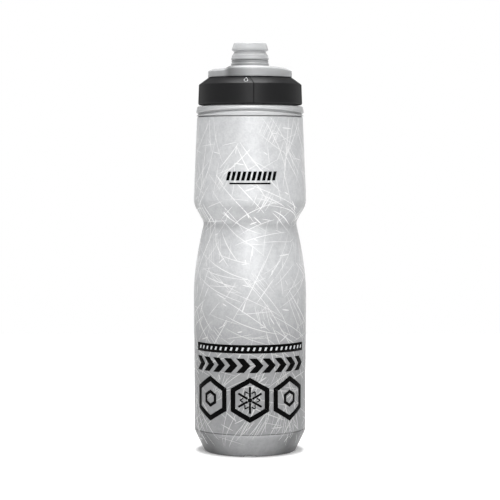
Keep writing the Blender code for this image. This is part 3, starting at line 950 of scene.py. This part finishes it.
class BOTTLE_OT_cap_marks(bpy.types.Operator):
    """Drop signs on the collar: an open drop for flow and a crossed drop for locked"""

    bl_idname = "bottle.cap_marks"
    bl_label = "Cap marks"

    def execute(self, context):
        look = pale_ink_look("grey_pad_print", context.scene.bottle_colours.mark)
        self.drop("open_mark", OPEN_ANGLE, look)
        self.drop("locked_mark", LOCKED_ANGLE, look)
        share = np.linspace(-1, 1, 9)[:, None]
        side = np.array([-0.17, 0.17])[None, :]
        slash = self.on_chamfer(LOCKED_ANGLE, share * 2.2 + side * 0.75, share * 2.2 - side * 0.75)
        self.film("locked_slash", slash, grid_faces(9, 2, close_columns=False), look)
        return {"FINISHED"}

    def on_chamfer(self, angle, across, up):
        """Points on the collar's cone, this far across and up its slope from the middle of the chamfer."""
        top, foot = np.array([LIP_RADIUS, LIP_TOP]), np.array([CHAMFER_RADIUS, CHAMFER_FOOT])
        slope = (top - foot) / np.linalg.norm(top - foot)
        outward = np.array([slope[1], -slope[0]])
        middle = (top + foot) / 2 + outward * 0.05
        proud = STEP_DEPTH * ease(1 - angle / math.pi) if angle > 0 else 0
        radius = middle[0] + slope[0] * up + proud
        return round_axis(radius, angle + across / radius, middle[1] + slope[1] * up)

    def drop(self, name, angle, look):
        """A line 0.28 mm wide round a drop, whose half width follows sin t times sin of half t to the power 1.6 and
        whose height follows cos t."""
        share = (np.arange(40) + 0.5) * TURN / 40
        middle = np.stack([1.75 * np.sin(share) * np.sin(share / 2) ** 1.6, 2.2 * np.cos(share)], axis=1)
        ahead = np.roll(middle, -1, axis=0) - np.roll(middle, 1, axis=0)
        ahead /= np.linalg.norm(ahead, axis=1, keepdims=True)
        sideways = np.stack([ahead[:, 1], -ahead[:, 0]], axis=1)[:, None] * np.array([-0.14, 0.14])[None, :, None]
        line = middle[:, None] + sideways
        points = self.on_chamfer(angle, line[..., 0], line[..., 1])
        self.film(name, points, grid_faces(40, 2, close_rows=True, close_columns=False), look)

    def film(self, name, points, faces, look):
        """A film of ink 0.06 mm thick that rides on the cap."""
        thicken(piece(name, points, faces, look, "cap", slot="black_cap_plastic"), "ink_film", 0.06, 0)


class BOTTLE_OT_valve_dial(bpy.types.Operator):
    """Translucent dial with its raised pointer, barrel, stem and snap skirt, and the shutter with the flow ports"""

    bl_idname = "bottle.valve_dial"
    bl_label = "Valve dial"

    def execute(self, context):
        under = LIP_TOP + 0.1
        corners = [
            # Flow channel, stem and barrel
            (CHANNEL_RADIUS, SHUTTER_TOP, 0.3), (CHANNEL_RADIUS, 250.6, 1.2), (6.6, 252.6, 1.2), (6.6, STEM_TOP, 0.3),
            (8.6, STEM_TOP, 0.5), (8.6, BARREL_TOP, 0.3), (BARREL_RADIUS - 0.3, BARREL_TOP, 0.3),
            (BARREL_RADIUS - 0.45, 252.6, 0.4), (BARREL_RADIUS + 0.1, 252.0, 0.4), (BARREL_RADIUS + 0.1, 249.3, 0.6),
            # Disc and its rim
            (DIAL_RADIUS - 2.3, 248.4, 0.4), (DIAL_RADIUS, 247.1, 0.4), (DIAL_RADIUS, under, 0.3),
            # Skirt with the snap bead
            (LIP_BORE - 0.4, under, 0.2), (LIP_BORE - 0.4, 241.6, 0.2), (26.4, 241.4, 0.2), (26.4, 240.5, 0.2),
            (25.6, 239.9, 0.2), (23.6, 239.9, 0.3), (23.6, 245.2, 1.0), (12.6, 247.2, 1.0),
            # Groove of the O-ring
            (12.6, 243.4, 0.2), (11.6, 243.4, 0.2), (11.6, 241.0, 0.2), (12.6, 241.0, 0.2),
            (12.6, DECK_TOP + GAP, 0.2), (CHANNEL_RADIUS, DECK_TOP + GAP),
        ]
        outline = resampled(rounded(corners, ring=True), 0.8, ring=True)

        def pointer(radius, angle, height):
            """Raises the front of the disc into a level ridge that also stands out from the rim. Its left side is a
            steep wall that runs straight forward from the barrel's side, its right side sinks slowly round the disc."""
            across, forward = radius * np.sin(angle), radius * np.cos(angle)
            turn = np.degrees((angle + math.pi) % TURN - math.pi)
            share = ease((across + 16.5) / 4.5) * ease((forward + 2) / 5) * ease((98 - turn) / 86)
            edge = DIAL_RADIUS - 2.5
            on_top = (height > 246.2) & (height < 250.2) & (radius > BARREL_RADIUS + 0.12)
            rise = np.where(radius < edge, (radius - BARREL_RADIUS) / (edge - BARREL_RADIUS), 1.0) * on_top
            rise = rise * ease((height - 246.2) / 1.4)
            bulge = ease((radius - edge + 3) / 3) * (height > under - 0.01) * (radius > LIP_BORE - 0.3)
            return radius + 0.4 * share * bulge, angle, height + 1.5 * share * rise

        look = dial_look(context.scene.bottle_colours)
        made_of = {"node": "valve_dial", "slot": "smoke_plastic"}
        lathe("dial_surface", outline, look, "dial", ring=True, warp=pointer, **made_of)
        radii = [0, 2, PORT_INNER, 5.5, 7.2, PORT_OUTER, CHANNEL_RADIUS]
        ported_plate("dial_shutter", radii, DECK_TOP + GAP, SHUTTER_TOP, look, "dial", **made_of)
        return {"FINISHED"}


class BOTTLE_OT_mouthpiece(bpy.types.Operator):
    """Soft tip with its lip and bite groove, and the four flaps of the slit membrane"""

    bl_idname = "bottle.mouthpiece"
    bl_label = "Mouthpiece"

    def execute(self, context):
        bottom, top = BARREL_TOP + GAP, TIP_TOP
        corners = [
            # Bowl and lip
            (5.2, 260.9, 0.3), (5.5, top - 1.2, 1.0), (7.2, top, 1.0), (10.6, top, 1.1), (11.8, 261.5, 0.8),
            # Bite groove and skirt
            (11.6, 260.5, 0.4), (10.2, 260.1, 0.5), (10.3, 259.3, 0.9), (11.9, 257.2, 1.2), (11.8, 256.3, 0.5),
            (12.25, 255.6, 0.5), (12.05, bottom, 0.35),
            # Socket for the stem, and the membrane's seat
            (8.9, bottom, 0.3), (8.9, STEM_TOP + GAP, 0.3), (7.2, STEM_TOP + GAP, 0.3), (6.6, 259.6, 0.6),
            (5.2, 259.6, 0.3),
        ]
        look = silicone_look(context.scene.bottle_colours)
        outline = resampled(rounded(corners, ring=True), 0.6, ring=True)
        lathe("soft_tip", outline, look, "mouthpiece", ring=True, node="mouthpiece", slot="clear_silicone")
        self.flaps(look)
        return {"FINISHED"}

    def flaps(self, look):
        """Four quarter discs, dished towards the drink, with a slit 0.3 mm wide between neighbours."""
        rows, columns = 13, 19
        share = np.linspace(0, 1, rows)[:, None]
        radius = 0.35 + 4.95 * share
        inset = np.arcsin(0.15 / radius)
        across = np.linspace(0, 1, columns)[None, :]
        points, faces = [], []
        for quarter in range(4):
            angle = quarter * math.pi / 2 + inset + (math.pi / 2 - 2 * inset) * across
            height = 260.1 - 0.55 * np.cos(share * math.pi / 2) + 0 * angle
            points.append(round_axis(radius + 0 * angle, angle, height))
            faces.append(grid_faces(rows, columns, close_columns=False, start=quarter * rows * columns))
        made = piece("valve_flaps", np.stack(points), np.vstack(faces), look, "mouthpiece", slot="clear_silicone")
        thicken(made, "membrane", 0.9, 0)


class BOTTLE_OT_hidden_parts(bpy.types.Operator):
    """Finishes of the insulation and the seals, whose frame solids are shown as they are"""

    bl_idname = "bottle.hidden_parts"
    bl_label = "Insulation and seals"

    def execute(self, context):
        colours = context.scene.bottle_colours
        sheet = insulation_look(colours)
        looks = {
            "upper_insulation_wrap": sheet,
            "lower_insulation_wrap": sheet,
            "base_insulation_disc": sheet,
            "cap_gasket": rubber_look("gasket_silicone_moulded", colours.gasket),
            "dial_o_ring": rubber_look("nitrile_o_ring_moulded", colours.ring),
        }
        for node, look in looks.items():
            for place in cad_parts[node].material_slots:
                place.material = look
        return {"FINISHED"}


class BOTTLE_OT_stage(bpy.types.Operator):
    """Pale floor, bright surroundings, soft lights and the camera"""

    bl_idname = "bottle.stage"
    bl_label = "Stage"

    def execute(self, context):
        scene = context.scene
        scene.view_settings.view_transform = "Standard"
        self.floor(scene)
        self.surroundings(scene)
        self.softbox("key", (0.07, -0.97, 0.55), (0, 0, 0.2), width=0.5, height=0.6, watts=5.3)
        self.softbox("top", (0, 0, 1.1), (0, 0.1, 0), width=0.45, height=1.2, watts=19.0)
        self.camera(scene)
        return {"FINISHED"}

    def floor(self, scene):
        """A square sheet that reaches 0.75 m each way."""
        reach = 0.75
        mesh = bpy.data.meshes.new("floor")
        corners = [(-reach, -reach, 0), (reach, -reach, 0), (reach, reach, 0), (-reach, reach, 0)]
        mesh.from_pydata(corners, [], [(0, 1, 2, 3)])
        mesh.materials.append(floor_look(scene.bottle_colours))
        floor = bpy.data.objects.new("floor", mesh)
        scene.collection.objects.link(floor)

    def surroundings(self, scene):
        """White low down behind the bottle and darker elsewhere; plain white where the camera sees it."""
        world = bpy.data.worlds.new("studio")
        scene.world = world
        world.use_nodes = True
        tree = world.node_tree
        place = {"Vector": add(tree, "TexCoord", out="Generated")}
        behind = {"From Min": -0.15, "From Max": 0.7, "To Min": 0.3, "To Max": 1.0}
        back = add(tree, "MapRange", behind, {"Value": add(tree, "SeparateXYZ", links=place, out="Y")})
        lower = {"From Min": 0.6, "From Max": 0.2, "To Min": 0.45}
        low = add(tree, "MapRange", lower, {"Value": add(tree, "SeparateXYZ", links=place, out="Z")})
        lit = add(tree, "Math", {"operation": "MULTIPLY"}, {0: back, 1: low})
        path = add(tree, "LightPath")
        strength = add(tree, "Mix", {3: 1.0}, {0: path, 2: lit})
        background = tree.nodes["Background"]
        background.inputs["Color"].default_value = (1, 1, 1, 1)
        tree.links.new(strength, background.inputs["Strength"])

    def softbox(self, name, place, target, width, height, watts):
        """An area light, all lengths in metres."""
        light = bpy.data.lights.new(name, "AREA")
        light.shape = "RECTANGLE"
        light.size, light.size_y = width, height
        light.energy = watts
        made = bpy.data.objects.new(name, light)
        bpy.context.scene.collection.objects.link(made)
        self.aim(made, place, target)

    def camera(self, scene):
        """A long lens from 1.15 m, a little above the middle of the bottle and tilted down by three degrees."""
        lens = bpy.data.cameras.new("camera")
        lens.sensor_width, lens.lens = 36, 127
        made = bpy.data.objects.new("camera", lens)
        scene.collection.objects.link(made)
        self.aim(made, (0, -1.15, 0.1917), (0, 0, 0.1311))
        scene.camera = made

    def aim(self, made, place, target):
        """Puts a light or camera at a place, looking at the target with its top upwards."""
        towards = (Vector(target) - Vector(place)).to_track_quat("-Z", "Y")
        made.matrix_world = Matrix.LocRotScale(Vector(place), towards, None)


OPERATORS = (
    BOTTLE_OT_outer_shell,
    BOTTLE_OT_fibres,
    BOTTLE_OT_prints,
    BOTTLE_OT_base_cup,
    BOTTLE_OT_inner_bottle,
    BOTTLE_OT_cap_shell,
    BOTTLE_OT_cap_marks,
    BOTTLE_OT_valve_dial,
    BOTTLE_OT_mouthpiece,
    BOTTLE_OT_hidden_parts,
    BOTTLE_OT_stage,
)


class BOTTLE_PT_build(bpy.types.Panel):
    """Lists the pieces of the bottle with their sizes and colours"""

    bl_idname = "BOTTLE_PT_build"
    bl_label = "Cycling bottle"
    bl_space_type = "VIEW_3D"
    bl_region_type = "UI"
    bl_category = "Bottle"

    def draw(self, context):
        for group in (context.scene.bottle_sizes, context.scene.bottle_colours, context.scene.bottle_fibres):
            column = self.layout.column(align=True)
            for name in group.__annotations__:
                column.prop(group, name)
        for operator in OPERATORS:
            self.layout.operator(operator.bl_idname)


CLASSES = (BottleSizes, BottleColours, FibreSettings, *OPERATORS, BOTTLE_PT_build)


def register():
    for made in CLASSES:
        bpy.utils.register_class(made)
    bpy.types.Scene.bottle_sizes = PointerProperty(type=BottleSizes)
    bpy.types.Scene.bottle_colours = PointerProperty(type=BottleColours)
    bpy.types.Scene.bottle_fibres = PointerProperty(type=FibreSettings)


def unregister():
    del bpy.types.Scene.bottle_fibres
    del bpy.types.Scene.bottle_colours
    del bpy.types.Scene.bottle_sizes
    for made in reversed(CLASSES):
        bpy.utils.unregister_class(made)


def main():
    register()
    for operator in OPERATORS:
        group, name = operator.bl_idname.split(".")
        getattr(getattr(bpy.ops, group), name)()


if __name__ == "__main__":
    main()
